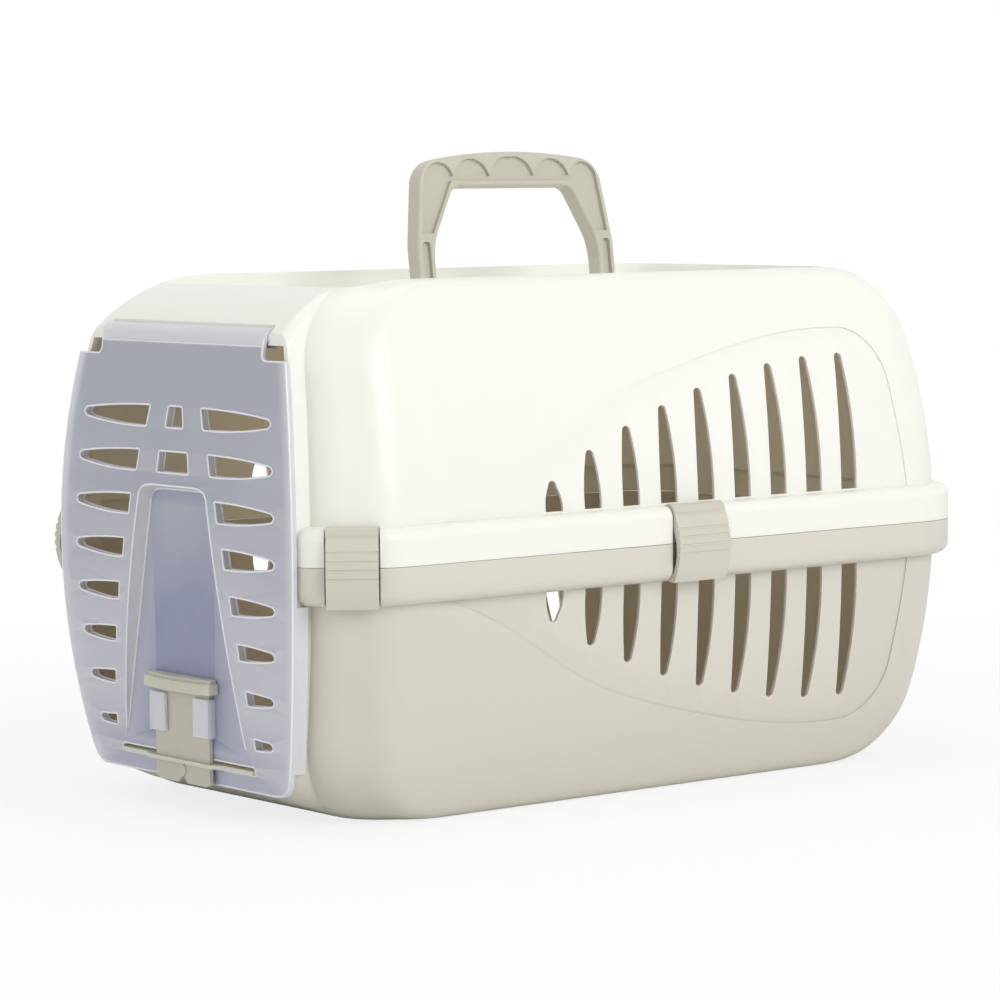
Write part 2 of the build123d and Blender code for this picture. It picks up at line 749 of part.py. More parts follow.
# Latch
with BuildPart() as latch:
    with BuildSketch(Plane.XZ.offset(-latch_back)):
        with BuildLine():
            Polyline((-latch_half_width, latch_top), (-latch_half_width, latch_bottom + 2),
                     (-latch_half_width + 3, latch_bottom), (-latch_notch_half, latch_bottom),
                     (0, latch_bottom + latch_notch_height), (latch_notch_half, latch_bottom),
                     (latch_half_width - 3, latch_bottom), (latch_half_width, latch_bottom + 2),
                     (latch_half_width, latch_top), close=True)
        make_face()
    extrude(amount=latch_thickness)
    with BuildSketch(Plane.XY.offset(latch_top)):
        with BuildLine():
            Line((-latch_bar_half_width, latch_back), (latch_bar_half_width, latch_back))
            Line((latch_bar_half_width, latch_back), (latch_bar_half_width, latch_front - latch_bar_reach / 2))
            ThreePointArc((latch_bar_half_width, latch_front - latch_bar_reach / 2),
                          (0, latch_front - latch_bar_reach),
                          (-latch_bar_half_width, latch_front - latch_bar_reach / 2))
            Line((-latch_bar_half_width, latch_front - latch_bar_reach / 2), (-latch_bar_half_width, latch_back))
        make_face()
    extrude(amount=latch_bar_height)
    with BuildSketch(Plane.XY.offset(latch_top + latch_bar_height)):
        with BuildLine():
            lip_half = latch_bar_half_width - latch_lip_setback
            lip_front = latch_front - latch_bar_reach + latch_lip_setback
            Line((-lip_half, latch_back), (lip_half, latch_back))
            Line((lip_half, latch_back), (lip_half, latch_front - latch_bar_reach / 4))
            ThreePointArc((lip_half, latch_front - latch_bar_reach / 4), (0, lip_front),
                          (-lip_half, latch_front - latch_bar_reach / 4))
            Line((-lip_half, latch_front - latch_bar_reach / 4), (-lip_half, latch_back))
        make_face()
    extrude(amount=latch_lip_height)
    with BuildSketch(Plane.XZ.offset(-latch_front)):
        with Locations((0, latch_stud_level)):
            Circle(latch_stud_radius)
    extrude(amount=latch_stud_proud)
latch.part.label = "latch"
export_step(latch.part, "parts/latch.step")

# Handle, leaning to one side of upright
handle_plane = Plane(origin=(0, handle_middle, pivot_height), x_dir=(0, 1, 0),
                     z_dir=(cos(radians(handle_lean)), 0, sin(radians(handle_lean))))
leg_inner = handle_half_length - handle_leg_width
grip_low = handle_height - handle_grip_depth
shoulder_level = handle_height - handle_crown
pocket_low = grip_low + handle_rim
pocket_top = handle_height - handle_rim
lobe_foot = pocket_low + handle_rib_gap
leg_slope = (handle_half_length - handle_shoulder_half) / (shoulder_level - handle_knee)
leg_pocket_low = handle_knee + 2 * handle_rim
inner_slope = (leg_inner - handle_gap_top_half) / (grip_low - handle_knee)


def leg_outer_at(level):
    """How far out the pocket may reach in a leg at a height above the pivot."""
    return handle_half_length - leg_slope * (level - handle_knee) - handle_rim


def leg_inner_at(level):
    """How far in the pocket may reach in a leg at a height above the pivot."""
    return leg_inner - inner_slope * (level - handle_knee) + handle_rim


with BuildPart() as handle:
    with BuildSketch(handle_plane) as arch:
        with BuildLine():
            Polyline((-leg_inner, handle_foot), (-handle_half_length, handle_foot), (-handle_half_length, handle_knee),
                     (-handle_shoulder_half, shoulder_level))
            ThreePointArc((-handle_shoulder_half, shoulder_level), (0, handle_height),
                          (handle_shoulder_half, shoulder_level))
            Polyline((handle_shoulder_half, shoulder_level), (handle_half_length, handle_knee),
                     (handle_half_length, handle_foot), (leg_inner, handle_foot), (leg_inner, handle_knee),
                     (handle_gap_top_half, grip_low), (-handle_gap_top_half, grip_low), (-leg_inner, handle_knee),
                     (-leg_inner, handle_foot))
        make_face()
        fillet(arch.vertices().filter_by(lambda corner: corner.Y > grip_low + 1), handle_corner)
        fillet(arch.vertices().filter_by(lambda corner: abs(corner.Y - grip_low) < 0.01), handle_corner / 2)
        fillet(arch.vertices().filter_by(lambda corner: abs(corner.Y - handle_knee) < 0.01), handle_knee_round)
    extrude(amount=handle_thickness / 2, both=True)
    face_edges = [edge for edge in handle.edges()
                  if abs(abs(handle_plane.to_local_coords(edge.center()).Z) - handle_thickness / 2) < 0.01]
    fillet(face_edges, handle_edge)
    for face in (-1, 1):
        with BuildSketch(handle_plane.offset(face * handle_thickness / 2)):
            with BuildLine():
                Line((0, pocket_low), (0, pocket_top))
                ThreePointArc((0, pocket_top), (handle_ribs[0] * 0.7, pocket_top - 3), (handle_ribs[0], lobe_foot))
                ThreePointArc((handle_ribs[0], lobe_foot), (handle_lobe, pocket_top - 1), (handle_ribs[1], lobe_foot))
                ThreePointArc((handle_ribs[1], lobe_foot), (handle_end_lobe, pocket_top - handle_crown / 2),
                              (leg_outer_at(lobe_foot), lobe_foot))
                Polyline((leg_outer_at(lobe_foot), lobe_foot), (leg_outer_at(leg_pocket_low), leg_pocket_low),
                         (leg_inner_at(leg_pocket_low), leg_pocket_low), (leg_inner_at(pocket_low), pocket_low),
                         (0, pocket_low))
            make_face()
            with Locations(((leg_inner + handle_half_length) / 2, handle_knee / 2 + handle_rim)):
                RectangleRounded(handle_leg_width - 2 * handle_rim, handle_knee - handle_rim, 2)
            mirror(about=Plane.YZ)
        extrude(amount=-face * handle_relief, mode=Mode.SUBTRACT)
    with BuildSketch(Plane.XZ.offset(-handle_middle)):
        with Locations((0, pivot_height)):
            Circle(pivot_radius)
    extrude(amount=handle_half_length + pivot_reach, both=True)
    with BuildSketch(Plane.XZ.offset(-handle_middle)):
        with Locations((0, pivot_height)):
            Circle(pivot_radius + 1)
    extrude(amount=leg_inner, both=True, mode=Mode.SUBTRACT)
handle.part.label = "handle"
export_step(handle.part, "parts/handle.step")


def clip_face(level):
    """How far a clip's bowed face stands out from the belt at a height from the seam."""
    return clip_bulge - bow(clip_face_radius, level - clip_face_middle)


# Clips
hook_bottom = -hook_top - hook_height
barrel_front = clip_barrel_radius - clip_pin_inset
inner_top = clip_pin_above_seam - clip_barrel_radius / 2
for name, (plane, width) in clips.items():
    with BuildPart() as clip:
        with BuildSketch(plane):
            with Locations((-clip_pin_inset, clip_pin_above_seam)):
                Circle(clip_barrel_radius)
            with BuildLine():
                Line((-clip_pin_inset, inner_top), (-clip_pin_inset, clip_pin_above_seam))
                Line((-clip_pin_inset, clip_pin_above_seam), (barrel_front, clip_pin_above_seam))
                ThreePointArc((barrel_front, clip_pin_above_seam), (clip_bulge, clip_face_middle),
                              (clip_face(clip_bottom), clip_bottom))
                Polyline((clip_face(clip_bottom), clip_bottom), (clip_face(clip_bottom) - clip_strap, clip_bottom),
                         (-hook_reach, hook_bottom), (-hook_reach, -hook_top),
                         (clip_face(-hook_top) - clip_strap, -hook_top))
                ThreePointArc((clip_face(-hook_top) - clip_strap, -hook_top),
                              (clip_bulge - clip_strap, clip_face_middle), (-clip_pin_inset, inner_top))
            make_face()
            for groove in range(clip_groove_count):
                level = clip_pin_above_seam / 2 - groove * clip_groove_pitch
                with Locations((clip_face(level) + clip_groove_radius / 3, level)):
                    Circle(clip_groove_radius, mode=Mode.SUBTRACT)
        extrude(amount=width / 2, both=True)
        with BuildSketch(plane):
            with Locations((-clip_pin_inset, clip_pin_above_seam)):
                Circle(clip_pin_radius)
        extrude(amount=width / 2 + clip_side_gap + clip_pin_reach, both=True)
    clip.part.label = name
    export_step(clip.part, f"parts/{name}.step")
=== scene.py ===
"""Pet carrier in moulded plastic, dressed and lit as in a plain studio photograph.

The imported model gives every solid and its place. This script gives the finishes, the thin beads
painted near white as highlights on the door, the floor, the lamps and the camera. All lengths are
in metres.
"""
import logging
from dataclasses import dataclass, field
from enum import Enum
from math import cos, pi, radians, sin, sqrt, tan

import bpy
from mathutils import Matrix, Vector


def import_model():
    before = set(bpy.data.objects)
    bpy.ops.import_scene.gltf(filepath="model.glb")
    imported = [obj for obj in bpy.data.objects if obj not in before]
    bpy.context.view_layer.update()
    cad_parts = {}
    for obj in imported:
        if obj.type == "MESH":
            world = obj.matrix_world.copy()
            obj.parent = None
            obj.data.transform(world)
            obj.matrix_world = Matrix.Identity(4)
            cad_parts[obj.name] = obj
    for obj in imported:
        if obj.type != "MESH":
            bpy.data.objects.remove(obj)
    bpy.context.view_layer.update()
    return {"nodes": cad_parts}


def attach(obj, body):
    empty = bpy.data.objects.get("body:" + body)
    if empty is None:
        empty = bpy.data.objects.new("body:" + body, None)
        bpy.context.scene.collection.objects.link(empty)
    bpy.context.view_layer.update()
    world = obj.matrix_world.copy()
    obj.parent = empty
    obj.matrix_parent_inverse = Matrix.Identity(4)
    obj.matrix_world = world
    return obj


logging.basicConfig(level=logging.INFO, format="%(message)s")
log = logging.getLogger("pet_carrier")

Colour = tuple[float, float, float]
Point = tuple[float, float]
Span = tuple[float, float]
Groups = dict[str, bpy.types.NodeTree]
Socket = bpy.types.NodeSocket

MM = 0.001

# Grain, clouds and bump of moulded plastic.
GRAIN_SCALE = 900.0
GRAIN_DETAIL = 3.0
CLOUD_SCALE = 9.0
CLOUD_DETAIL = 4.0
CLOUD_WARP = 0.6
NOISE_MIDDLE = 0.5
ROUGHNESS = 0.42
ROUGHNESS_SPREAD = 0.08
BUMP_STRENGTH = 0.6

# Pointiness at which an edge starts to show, and at which it shows in full.
EDGE_SPAN: Span = (0.52, 0.64)

# How light enters the plastics.
COAT_ROUGHNESS = 0.25
GLOW_RADII: Colour = (1.0, 0.85, 0.6)
GLOW_DEPTH = 4 * MM
REFRACTION = 1.45

# Where the door's clear sheet gets its painted highlight: border, walls, crest and latch guides. A
# wall is told by how little it faces the front.
SHEET_MIDDLE = 148 * MM
SHEET_BOW = 1.176
BORDER_SPAN: Span = (106 * MM, 113.5 * MM)
WALL_SPAN: Span = (0.9, 0.6)
CREST_SPAN: Span = (260 * MM, 262.5 * MM)
GUIDE_FRONT = -234.5 * MM
GUIDE_TOP = 67 * MM
GUIDE_HALF = 30 * MM
# The heights between which the painted highlight on the sheet's upper part comes in, making it
# lighter and greyer.
RISE_SPAN: Span = (100 * MM, 235 * MM)

BEAD_STEPS = 2
CORNER_STEPS = (0.0, 0.33, 0.67, 1.0)
CORNER_SHARE = 0.45


class Lamp(Enum):
    """The lamps by name, with place, size and power."""

    KEY = ("key_lamp", (2.7, 0.2, 1.5), 1.6, 36.0)
    FRONT = ("front_lamp", (-0.6, -2.6, 0.9), 1.4, 10.0)
    TOP = ("top_lamp", (-0.2, 0.1, 2.6), 1.6, 11.0)


def new_group(name: str, inputs: dict[str, float], outputs: tuple[str, ...]
              ) -> tuple[bpy.types.NodeTree, bpy.types.Node, bpy.types.Node]:
    """Starts a node group.

    Args:
        name: The group's name.
        inputs: Its inputs, each with a default.
        outputs: Its outputs.

    Returns:
        The group, the node that gives its inputs and the node that takes its outputs.
    """
    tree = bpy.data.node_groups.new(name, "ShaderNodeTree")
    kind = "NodeSocketFloat"
    for label, default in inputs.items():
        socket = tree.interface.new_socket(name=label, in_out="INPUT", socket_type=kind)
        socket.default_value = default
    for label in outputs:
        tree.interface.new_socket(name=label, in_out="OUTPUT", socket_type=kind)
    return tree, tree.nodes.new("NodeGroupInput"), tree.nodes.new("NodeGroupOutput")


def group_node(tree: bpy.types.NodeTree, group: bpy.types.NodeTree) -> bpy.types.Node:
    """Adds a node that runs a node group, and returns it."""
    node = tree.nodes.new("ShaderNodeGroup")
    node.node_tree = group
    return node


def sum_node(tree: bpy.types.NodeTree, operation: str, first: Socket,
             second: Socket | float = 0.0) -> Socket:
    """Adds one sum to a node tree.

    Args:
        tree: The tree it goes in.
        operation: Which sum.
        first: The first value.
        second: The second value, fixed or from a node.

    Returns:
        The result's socket.
    """
    node = tree.nodes.new("ShaderNodeMath")
    node.operation = operation
    tree.links.new(first, node.inputs[0])
    if isinstance(second, float):
        node.inputs[1].default_value = second
    else:
        tree.links.new(second, node.inputs[1])
    return node.outputs[0]


def ramp_node(tree: bpy.types.NodeTree, value: Socket, span: Span = (0.0, 1.0),
              result: Span = (0.0, 1.0)) -> Socket:
    """Adds a straight ramp to a node tree.

    Args:
        tree: The tree it goes in.
        value: The value that is mapped.
        span: The values at which the ramp starts and ends.
        result: What it gives there.

    Returns:
        The result's socket.
    """
    node = tree.nodes.new("ShaderNodeMapRange")
    tree.links.new(value, node.inputs["Value"])
    for label, number in zip(("From Min", "From Max", "To Min", "To Max"), span + result):
        node.inputs[label].default_value = number
    return node.outputs["Result"]


def blend_node(tree: bpy.types.NodeTree, mask: Socket, under: Socket | Colour,
               over: Colour) -> Socket:
    """Adds a blend of two colours to a node tree.

    Args:
        tree: The tree it goes in.
        mask: How much of the upper colour shows.
        under: The lower colour, fixed or from a node.
        over: The upper colour.

    Returns:
        The result's socket.
    """
    node = tree.nodes.new("ShaderNodeMix")
    node.data_type = "RGBA"
    if isinstance(under, tuple):
        node.inputs["A"].default_value = (*under, 1)
    else:
        tree.links.new(under, node.inputs["A"])
    node.inputs["B"].default_value = (*over, 1)
    tree.links.new(mask, node.inputs["Factor"])
    return node.outputs["Result"]


def moulding_group() -> bpy.types.NodeTree:
    """Builds the node group for what injection moulding leaves on plastic.

    Returns:
        A group with a fine grain height, a slow tone mask and a roughness value.
    """
    defaults = {"Grain Scale": GRAIN_SCALE, "Cloud Scale": CLOUD_SCALE, "Roughness": ROUGHNESS,
                "Spread": ROUGHNESS_SPREAD}
    tree, inputs, outputs = new_group("moulding_marks", defaults, ("Height", "Tone", "Roughness"))
    place = tree.nodes.new("ShaderNodeTexCoord")
    grain = tree.nodes.new("ShaderNodeTexNoise")
    grain.inputs["Detail"].default_value = GRAIN_DETAIL
    cloud = tree.nodes.new("ShaderNodeTexNoise")
    cloud.inputs["Detail"].default_value = CLOUD_DETAIL
    cloud.inputs["Distortion"].default_value = CLOUD_WARP
    for texture, scale in ((grain, "Grain Scale"), (cloud, "Cloud Scale")):
        tree.links.new(place.outputs["Object"], texture.inputs["Vector"])
        tree.links.new(inputs.outputs[scale], texture.inputs["Scale"])
    swing = sum_node(tree, "SUBTRACT", cloud.outputs["Fac"], NOISE_MIDDLE)
    change = sum_node(tree, "MULTIPLY", swing, inputs.outputs["Spread"])
    dullness = sum_node(tree, "ADD", change, inputs.outputs["Roughness"])
    tree.links.new(grain.outputs["Fac"], outputs.inputs["Height"])
    tree.links.new(cloud.outputs["Fac"], outputs.inputs["Tone"])
    tree.links.new(dullness, outputs.inputs["Roughness"])
    return tree


def edge_group() -> bpy.types.NodeTree:
    """Builds the node group that finds sharp outer edges.

    Returns:
        A group whose mask is 1 on sharp outer edges and 0 on flat stretches.
    """
    start, full = EDGE_SPAN
    tree, inputs, outputs = new_group("thin_edges", {"Start": start, "Full": full}, ("Mask",))
    shape = tree.nodes.new("ShaderNodeNewGeometry")
    ramp = tree.nodes.new("ShaderNodeMapRange")
    tree.links.new(shape.outputs["Pointiness"], ramp.inputs["Value"])
    tree.links.new(inputs.outputs["Start"], ramp.inputs["From Min"])
    tree.links.new(inputs.outputs["Full"], ramp.inputs["From Max"])
    tree.links.new(ramp.outputs["Result"], outputs.inputs["Mask"])
    return tree


def sheet_group() -> bpy.types.NodeTree:
    """Builds the node group for the painted highlights on the door's clear sheet, where it is seen
    end-on and towards its top.

    Returns:
        A group with a painted highlight mask for walls, border, guides and crest, and a mask from
        foot to top for the painted highlight on the upper part.
    """
    defaults = {"Middle": SHEET_MIDDLE, "Bow": SHEET_BOW}
    tree, inputs, outputs = new_group("clear_sheet_highlights", defaults, ("Light", "Rise"))
    place = tree.nodes.new("ShaderNodeTexCoord")
    spot = tree.nodes.new("ShaderNodeSeparateXYZ")
    facing = tree.nodes.new("ShaderNodeSeparateXYZ")
    tree.links.new(place.outputs["Object"], spot.inputs[0])
    tree.links.new(place.outputs["Normal"], facing.inputs[0])
    aside = sum_node(tree, "ABSOLUTE", spot.outputs["X"])
    above = sum_node(tree, "SUBTRACT", spot.outputs["Z"], inputs.outputs["Middle"])
    square = sum_node(tree, "MULTIPLY", above, above)
    fall = sum_node(tree, "MULTIPLY", square, inputs.outputs["Bow"])
    forward = sum_node(tree, "ABSOLUTE", facing.outputs["Y"])
    near = sum_node(tree, "LESS_THAN", spot.outputs["Y"], GUIDE_FRONT)
    low = sum_node(tree, "LESS_THAN", spot.outputs["Z"], GUIDE_TOP)
    central = sum_node(tree, "LESS_THAN", aside, GUIDE_HALF)
    # The light mask paints a highlight on the latch guides here, and below on the border, the
    # walls and the crest.
    light = sum_node(tree, "MULTIPLY", sum_node(tree, "MULTIPLY", near, low), central)
    border = ramp_node(tree, sum_node(tree, "ADD", aside, fall), BORDER_SPAN)
    wall = ramp_node(tree, forward, WALL_SPAN)
    crest = ramp_node(tree, spot.outputs["Z"], CREST_SPAN)
    for mask in (border, wall, crest):
        light = sum_node(tree, "MAXIMUM", light, mask)
    tree.links.new(light, outputs.inputs["Light"])
    # The rise mask carries the painted highlight that lightens the sheet's upper part.
    tree.links.new(ramp_node(tree, spot.outputs["Z"], RISE_SPAN), outputs.inputs["Rise"])
    return tree


@dataclass(frozen=True)
class Plastic:
    """A moulded plastic finish.

    Attributes:
        name: The finish in a maker's words.
        colour: The plastic's own linear colour.
        shade: The slightly deeper colour in its slow tone changes.
        edge: The colour of its thin edges. On the clear sheet it is a near-white painted
            highlight, on its thin edges and on its walls, border, guides and crest.
        roughness: How dull the surface is.
        grain: Depth of the fine surface grain in metres.
        glow: How much light passes into the plastic and out again.
        clear: How much light passes straight through.
        sheen: Clear gloss on top.
        cloud: How many slow tone changes it shows per metre.
    """

    name: str
    colour: Colour
    shade: Colour
    edge: Colour
    roughness: float = ROUGHNESS
    grain: float = 0.03 * MM
    glow: float = 0.0
    clear: float = 0.0
    sheen: float = 0.0
    cloud: float = CLOUD_SCALE

    def layer(self, tree: bpy.types.NodeTree, groups: Groups, colour: Socket) -> Socket:
        """Returns the colour as it is, because plain plastic has no further layer."""
        return colour

    def material(self, groups: Groups) -> bpy.types.Material:
        """Makes the material for this finish.

        Args:
            groups: The node groups by name.

        Returns:
            The finished material.
        """
        finish = bpy.data.materials.new(self.name)
        finish.use_nodes = True
        tree = finish.node_tree
        surface = tree.nodes["Principled BSDF"]
        constants = {
            "Coat Weight": self.sheen,
            "Coat Roughness": COAT_ROUGHNESS,
            "Subsurface Weight": self.glow,
            "Subsurface Radius": GLOW_RADII,
            "Subsurface Scale": GLOW_DEPTH,
            "Transmission Weight": self.clear,
            "IOR": REFRACTION,
        }
        for label, value in constants.items():
            surface.inputs[label].default_value = value
        moulding = group_node(tree, groups["marks"])
        moulding.inputs["Roughness"].default_value = self.roughness
        moulding.inputs["Cloud Scale"].default_value = self.cloud
        rim = group_node(tree, groups["edges"])
        bump = tree.nodes.new("ShaderNodeBump")
        bump.inputs["Distance"].default_value = self.grain
        bump.inputs["Strength"].default_value = BUMP_STRENGTH
        tone = blend_node(tree, moulding.outputs["Tone"], self.shade, self.colour)
        # On the clear sheet this edge colour is a near-white painted highlight.
        edged = blend_node(tree, rim.outputs["Mask"], tone, self.edge)
        tree.links.new(self.layer(tree, groups, edged), surface.inputs["Base Color"])
        tree.links.new(moulding.outputs["Roughness"], surface.inputs["Roughness"])
        tree.links.new(moulding.outputs["Height"], bump.inputs["Height"])
        tree.links.new(bump.outputs["Normal"], surface.inputs["Normal"])
        return finish


@dataclass(frozen=True)
class ClearSheet(Plastic):
    """A frosted clear sheet, with a painted highlight on its walls, border, guides and crest, and
    a painted highlight that makes it lighter and greyer towards its top.

    Attributes:
        crown_highlight: The colour of its upper part, a painted highlight.
    """

    # The crown colour is a painted highlight that makes the sheet lighter and greyer towards its
    # top.
    crown_highlight: Colour = (0.57, 0.60, 0.67)

    def layer(self, tree: bpy.types.NodeTree, groups: Groups, colour: Socket) -> Socket:
        """Lays the painted highlights over the sheet's colour: the upper part's colour and the
        near-white walls, border, guides and crest.

        Args:
            tree: The material's nodes.
            groups: The node groups by name.
            colour: The colour so far.

        Returns:
            The final colour.
        """
        sheet = group_node(tree, groups["sheet"])
        # Both layers are painted highlights: the crown colour towards the top, the edge colour on
        # walls, border, guides and crest.
        for mask, paint in (("Rise", self.crown_highlight), ("Light", self.edge)):
            colour = blend_node(tree, sheet.outputs[mask], colour, paint)
        return colour


IVORY = Plastic("ivory_shell", colour=(0.885, 0.89, 0.825), shade=(0.87, 0.875, 0.80),
                edge=(0.90, 0.90, 0.84), roughness=0.34, glow=0.15, sheen=0.12)
STONE = Plastic("stone_shell", colour=(0.665, 0.645, 0.56), shade=(0.64, 0.62, 0.535),
                edge=(0.69, 0.67, 0.59), roughness=0.34, glow=0.15, sheen=0.12)
SAND = Plastic("sand_trim", colour=(0.575, 0.555, 0.46), shade=(0.555, 0.53, 0.44),
               edge=(0.63, 0.61, 0.52), roughness=0.36)
# The door's near-white edge colour is a painted highlight on its thin edges, walls, border, guides
# and crest.
FROST = ClearSheet("frosted_door", colour=(0.46, 0.49, 0.70), shade=(0.38, 0.41, 0.61),
                   edge=(0.93, 0.94, 0.98), clear=0.42, sheen=0.35, cloud=34.0)
# This near-white finish paints highlights as thin lines along the door's rims, border, panel and
# fold.
FROST_HIGHLIGHT = Plastic("frosted_edge_highlight", colour=(0.88, 0.89, 0.93), shade=(0.85, 0.86, 0.91),
                     edge=(0.93, 0.93, 0.96), roughness=0.3, clear=0.05)


@dataclass
class Wardrobe:
    """All the finishes, made once and handed out by name.

    Attributes:
        groups: The shared node groups by name.
        made: The materials made so far, by their finish's name.
    """

    groups: Groups = field(default_factory=dict)
    made: dict[str, bpy.types.Material] = field(default_factory=dict)

    def __post_init__(self) -> None:
        """Builds the shared node groups."""
        self.groups.update(marks=moulding_group(), edges=edge_group(), sheet=sheet_group())

    def get(self, finish: Plastic) -> bpy.types.Material:
        """Returns the material for a finish, and makes it at its first use.

        Args:
            finish: The finish wanted.

        Returns:
            Its material.
        """
        if finish.name not in self.made:
            self.made[finish.name] = finish.material(self.groups)
        return self.made[finish.name]

    def dress(self, piece: bpy.types.Object, finish: Plastic) -> None:
        """Gives a piece one finish all over.

        Args:
            piece: The object to dress.
            finish: The finish it gets.
        """
        piece.data.materials.clear()
        piece.data.materials.append(self.get(finish))


def put_in_scene(name: str, data: bpy.types.ID) -> bpy.types.Object:
    """Makes an object from its data, puts it in the scene and returns it."""
    body = bpy.data.objects.new(name, data)
    bpy.context.collection.objects.link(body)
    return body


def bead(name: str, runs: list[list[Vector]], radius: float,
         closed: bool = True) -> bpy.types.Object:
    """Makes one piece of thin round beads that follow lines.

    Args:
        name: The piece's name.
        runs: The points of each line.
        radius: The bead's radius.
        closed: Whether each line ends where it starts.

    Returns:
        The curve object.
    """
    curve = bpy.data.curves.new(name, "CURVE")
    curve.dimensions = "3D"
    curve.bevel_depth = radius
    curve.bevel_resolution = BEAD_STEPS
    curve.use_fill_caps = True
    for run in runs:
        spline = curve.splines.new("POLY")
        spline.points.add(len(run) - 1)
        for point, place in zip(spline.points, run):
            point.co = (*place, 1)
        spline.use_cyclic_u = closed
    return put_in_scene(name, curve)


def arc_points(start: Point, middle: Point, end: Point, count: int = 8) -> list[Point]:
    """Walks a smooth bend through three points.

    Args:
        start: Where it starts.
        middle: A point it passes halfway.
        end: Where it ends.
        count: How many steps it takes.

    Returns:
        The points, with the start and without the end.
    """
    points = []
    for step in range(count):
        t = step / count
        weights = (2 * (t - 0.5) * (t - 1), 4 * t * (1 - t), 2 * t * (t - 0.5))
        marks = tuple(zip(weights, (start, middle, end)))
        points.append(tuple(sum(weight * mark[axis] for weight, mark in marks) for axis in (0, 1)))
    return points


def mirror(outline: list[Point]) -> list[Point]:
    """Returns an outline's points mirrored in x, in the opposite order."""
    return [(-x, z) for x, z in reversed(outline)]


def soften(outline: list[Point], radius: float, sharp: float = 0.6) -> list[Point]:
    """Rounds the sharp corners of a closed outline.

    Args:
        outline: The outline's points.
        radius: How far from a corner the rounding starts.
        sharp: The least turn, in radians, that counts as a corner.

    Returns:
        The outline with a short bend at each corner.
    """
    softened = []
    for index, corner in enumerate(outline):
        here = Vector(corner)
        before = Vector(outline[index - 1]) - here
        after = Vector(outline[(index + 1) % len(outline)]) - here
        if pi - before.angle(after, pi) < sharp:
            softened.append(corner)
            continue
        start = here + before.normalized() * min(radius, before.length * CORNER_SHARE)
        end = here + after.normalized() * min(radius, after.length * CORNER_SHARE)
        for t in CORNER_STEPS:
            softened.append(tuple(start * (1 - t) ** 2 + here * 2 * t * (1 - t) + end * t**2))
    return softened


@dataclass
class Shells:
    """The two shells, each with its finish."""

    finishes: tuple[tuple[str, Plastic], ...] = (("upper_shell", IVORY), ("lower_shell", STONE))

    def build(self, wardrobe: Wardrobe, nodes: dict[str, bpy.types.Object]) -> None:
        """Dresses both shells.

        Args:
            wardrobe: Where the finishes come from.
            nodes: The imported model's nodes.
        """
        for name, finish in self.finishes:
            wardrobe.dress(nodes[name], finish)
            log.info("%s dressed", name)


